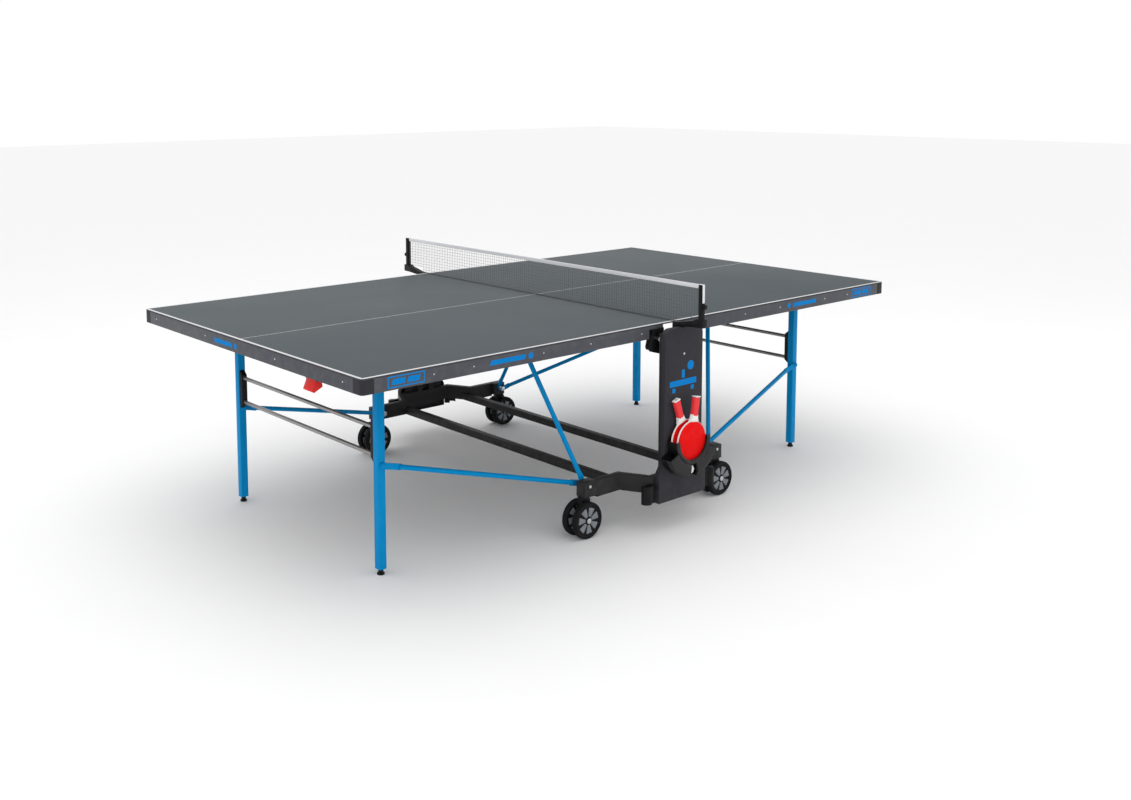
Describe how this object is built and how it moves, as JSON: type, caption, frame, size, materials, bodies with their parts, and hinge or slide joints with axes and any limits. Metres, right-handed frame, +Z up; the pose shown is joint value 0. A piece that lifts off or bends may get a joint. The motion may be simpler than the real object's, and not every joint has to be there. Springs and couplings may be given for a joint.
{
  "type": "ping pong table",
  "caption": "Folding ping pong table on a wheeled carriage, with net, tubular legs with stays, side panels with bat and ball holders, bats and ball.",
  "frame": {"origin": "on the floor under the middle of the net", "axes": "+X along the table towards the right half, +Y across it towards the far side, +Z up"},
  "size_m": [2.74, 1.839, 0.9125],
  "materials": {
    "playing_surface": "matt melamine skin",
    "apron": "satin powder coat",
    "panel": "fine textured moulding",
    "blue_tube": "gloss powder coat",
    "grey_rod": "grey coated rod",
    "net_mesh": "knotless mesh",
    "white_tape": "woven tape",
    "castor_wheel": "soft tread",
    "red_handle": "moulded",
    "bat_rubber": "weatherproof rubber",
    "ball": "matt ball",
    "bright_steel": "zinc plated",
    "chassis": "satin powder coat",
    "black_plastic": "moulded"
  },
  "bodies": {
    "carriage": {"side_bar_near": "chassis", "side_bar_far": "chassis", "cross_beams": "chassis", "upright_near": "chassis", "upright_far": "chassis", "side_panel_near": "panel", "side_panel_far": "panel", "panel_flaps": "black_plastic", "holder_near": "black_plastic", "holder_far": "black_plastic", "net_posts": "chassis", "net": "net_mesh", "net_tape": "white_tape", "castor_brackets": "chassis", "stay_pivot_pins": "bright_steel"},
    "net_knob_near": {"net_knob_near": "black_plastic"},
    "net_knob_far": {"net_knob_far": "black_plastic"},
    "left_guide": {"left_guide_pins": "bright_steel"},
    "left_half": {"left_board": "playing_surface", "left_end_apron": "apron", "left_side_aprons": "apron", "left_corner_caps": "black_plastic", "left_under_frame": "chassis", "left_guide_brackets": "black_plastic"},
    "left_handle": {"left_release_handle": "red_handle"},
    "left_lock": {"left_lock_rod": "bright_steel"},
    "left_leg_pair": {"left_legs": "blue_tube", "left_leg_rods": "grey_rod", "left_leg_brackets": "black_plastic"},
    "left_top_stay_pair": {"left_top_stays": "blue_tube"},
    "left_leg_stay_pair": {"left_leg_stays": "blue_tube"},
    "foot_left_near": {"foot_left_near": "black_plastic"},
    "castor_left_near": {"castor_left_near": "black_plastic"},
    "wheels_left_near": {"wheels_left_near": "castor_wheel"},
    "foot_left_far": {"foot_left_far": "black_plastic"},
    "castor_left_far": {"castor_left_far": "black_plastic"},
    "wheels_left_far": {"wheels_left_far": "castor_wheel"},
    "right_guide": {"right_guide_pins": "bright_steel"},
    "right_half": {"right_board": "playing_surface", "right_end_apron": "apron", "right_side_aprons": "apron", "right_corner_caps": "black_plastic", "right_under_frame": "chassis", "right_guide_brackets": "black_plastic"},
    "right_handle": {"right_release_handle": "red_handle"},
    "right_lock": {"right_lock_rod": "bright_steel"},
    "right_leg_pair": {"right_legs": "blue_tube", "right_leg_rods": "grey_rod", "right_leg_brackets": "black_plastic"},
    "right_top_stay_pair": {"right_top_stays": "blue_tube"},
    "right_leg_stay_pair": {"right_leg_stays": "blue_tube"},
    "foot_right_near": {"foot_right_near": "black_plastic"},
    "castor_right_near": {"castor_right_near": "black_plastic"},
    "wheels_right_near": {"wheels_right_near": "castor_wheel"},
    "foot_right_far": {"foot_right_far": "black_plastic"},
    "castor_right_far": {"castor_right_far": "black_plastic"},
    "wheels_right_far": {"wheels_right_far": "castor_wheel"},
    "bat_back": {"bat_back": "bat_rubber"},
    "bat_front": {"bat_front": "bat_rubber"},
    "ball": {"ball": "ball"}
  },
  "joints": [
    {"name": "guide_left", "type": "slide", "parent": "carriage", "child": "left_guide", "axis": [0, 0, -1], "range_m": [0, 0.455]},
    {"name": "fold_left", "type": "hinge", "parent": "left_guide", "child": "left_half", "pos_m": [-0.092, 0, 0.708], "axis": [0, 1, 0], "range_deg": [0, 90]},
    {"name": "legs_left", "type": "hinge", "parent": "left_half", "child": "left_leg_pair", "pos_m": [-1.116, 0, 0.717], "axis": [0, 1, 0], "range_deg": [-90, 0]},
    {"name": "stay_top_left", "type": "hinge", "parent": "carriage", "child": "left_top_stay_pair", "pos_m": [-0.342, 0, 0.183], "axis": [0, 1, 0], "range_deg": [0, 44.19]},
    {"name": "stay_leg_left", "type": "hinge", "parent": "carriage", "child": "left_leg_stay_pair", "pos_m": [-0.342, 0, 0.183], "axis": [0, 1, 0], "range_deg": [0, 94.88]},
    {"name": "handle_left", "type": "hinge", "parent": "left_half", "child": "left_handle", "pos_m": [-1.324, -0.42, 0.698], "axis": [0, 1, 0], "range_deg": [0, 25], "stiffness_Nm_per_rad": 1},
    {"name": "lock_left", "type": "slide", "parent": "left_half", "child": "left_lock", "axis": [1, 0, 0], "range_m": [0, 0.015]},
    {"name": "foot_left_near", "type": "slide", "parent": "left_leg_pair", "child": "foot_left_near", "axis": [0, 0, -1], "range_m": [0, 0.012]},
    {"name": "swivel_left_near", "type": "hinge", "parent": "carriage", "child": "castor_left_near", "pos_m": [-0.358, -0.665, 0.15], "axis": [0, 0, 1], "continuous": true},
    {"name": "wheel_left_near", "type": "hinge", "parent": "castor_left_near", "child": "wheels_left_near", "pos_m": [-0.366, -0.665, 0.0675], "axis": [0, 1, 0], "continuous": true},
    {"name": "foot_left_far", "type": "slide", "parent": "left_leg_pair", "child": "foot_left_far", "axis": [0, 0, -1], "range_m": [0, 0.012]},
    {"name": "swivel_left_far", "type": "hinge", "parent": "carriage", "child": "castor_left_far", "pos_m": [-0.358, 0.665, 0.15], "axis": [0, 0, 1], "continuous": true},
    {"name": "wheel_left_far", "type": "hinge", "parent": "castor_left_far", "child": "wheels_left_far", "pos_m": [-0.366, 0.665, 0.0675], "axis": [0, 1, 0], "continuous": true},
    {"name": "guide_right", "type": "slide", "parent": "carriage", "child": "right_guide", "axis": [0, 0, -1], "range_m": [0, 0.455]},
    {"name": "fold_right", "type": "hinge", "parent": "right_guide", "child": "right_half", "pos_m": [0.092, 0, 0.708], "axis": [0, -1, 0], "range_deg": [0, 90]},
    {"name": "legs_right", "type": "hinge", "parent": "right_half", "child": "right_leg_pair", "pos_m": [1.116, 0, 0.717], "axis": [0, -1, 0], "range_deg": [-90, 0]},
    {"name": "stay_top_right", "type": "hinge", "parent": "carriage", "child": "right_top_stay_pair", "pos_m": [0.342, 0, 0.183], "axis": [0, -1, 0], "range_deg": [0, 44.19]},
    {"name": "stay_leg_right", "type": "hinge", "parent": "carriage", "child": "right_leg_stay_pair", "pos_m": [0.342, 0, 0.183], "axis": [0, -1, 0], "range_deg": [0, 94.88]},
    {"name": "handle_right", "type": "hinge", "parent": "right_half", "child": "right_handle", "pos_m": [1.324, 0.42, 0.698], "axis": [0, -1, 0], "range_deg": [0, 25], "stiffness_Nm_per_rad": 1},
    {"name": "lock_right", "type": "slide", "parent": "right_half", "child": "right_lock", "axis": [-1, 0, 0], "range_m": [0, 0.015]},
    {"name": "foot_right_near", "type": "slide", "parent": "right_leg_pair", "child": "foot_right_near", "axis": [0, 0, -1], "range_m": [0, 0.012]},
    {"name": "swivel_right_near", "type": "hinge", "parent": "carriage", "child": "castor_right_near", "pos_m": [0.358, -0.665, 0.15], "axis": [0, 0, 1], "continuous": true},
    {"name": "wheel_right_near", "type": "hinge", "parent": "castor_right_near", "child": "wheels_right_near", "pos_m": [0.366, -0.665, 0.0675], "axis": [0, 1, 0], "continuous": true},
    {"name": "foot_right_far", "type": "slide", "parent": "right_leg_pair", "child": "foot_right_far", "axis": [0, 0, -1], "range_m": [0, 0.012]},
    {"name": "swivel_right_far", "type": "hinge", "parent": "carriage", "child": "castor_right_far", "pos_m": [0.358, 0.665, 0.15], "axis": [0, 0, 1], "continuous": true},
    {"name": "wheel_right_far", "type": "hinge", "parent": "castor_right_far", "child": "wheels_right_far", "pos_m": [0.366, 0.665, 0.0675], "axis": [0, 1, 0], "continuous": true},
    {"name": "knob_near", "type": "hinge", "parent": "carriage", "child": "net_knob_near", "pos_m": [0, -0.913, 0.832], "axis": [0, 1, 0], "continuous": true},
    {"name": "knob_far", "type": "hinge", "parent": "carriage", "child": "net_knob_far", "pos_m": [0, 0.913, 0.832], "axis": [0, 1, 0], "continuous": true},
    {"name": "lift_bat_back", "type": "slide", "parent": "carriage", "child": "bat_back", "axis": [0, 0, 1], "range_m": [0, 0.16]},
    {"name": "lift_bat_front", "type": "slide", "parent": "carriage", "child": "bat_front", "axis": [0, 0, 1], "range_m": [0, 0.16]},
    {"name": "roll_ball", "type": "hinge", "parent": "carriage", "child": "ball", "pos_m": [0, -0.848, 0.335], "axis": [0, 1, 0], "range_deg": [-45, 45]}
  ],
  "couplings": [
    {"joint": "guide_left", "follows": "fold_left", "m_per_rad": 0.28919},
    {"joint": "legs_left", "follows": "fold_left", "ratio": -1},
    {"joint": "stay_top_left", "follows": "fold_left", "ratio": 0.49092},
    {"joint": "stay_leg_left", "follows": "fold_left", "ratio": 1.0541},
    {"joint": "lock_left", "follows": "handle_left", "m_per_rad": 0.034},
    {"joint": "guide_right", "follows": "fold_right", "m_per_rad": 0.28919},
    {"joint": "legs_right", "follows": "fold_right", "ratio": -1},
    {"joint": "stay_top_right", "follows": "fold_right", "ratio": 0.49092},
    {"joint": "stay_leg_right", "follows": "fold_right", "ratio": 1.0541},
    {"joint": "lock_right", "follows": "handle_right", "m_per_rad": 0.034}
  ]
}
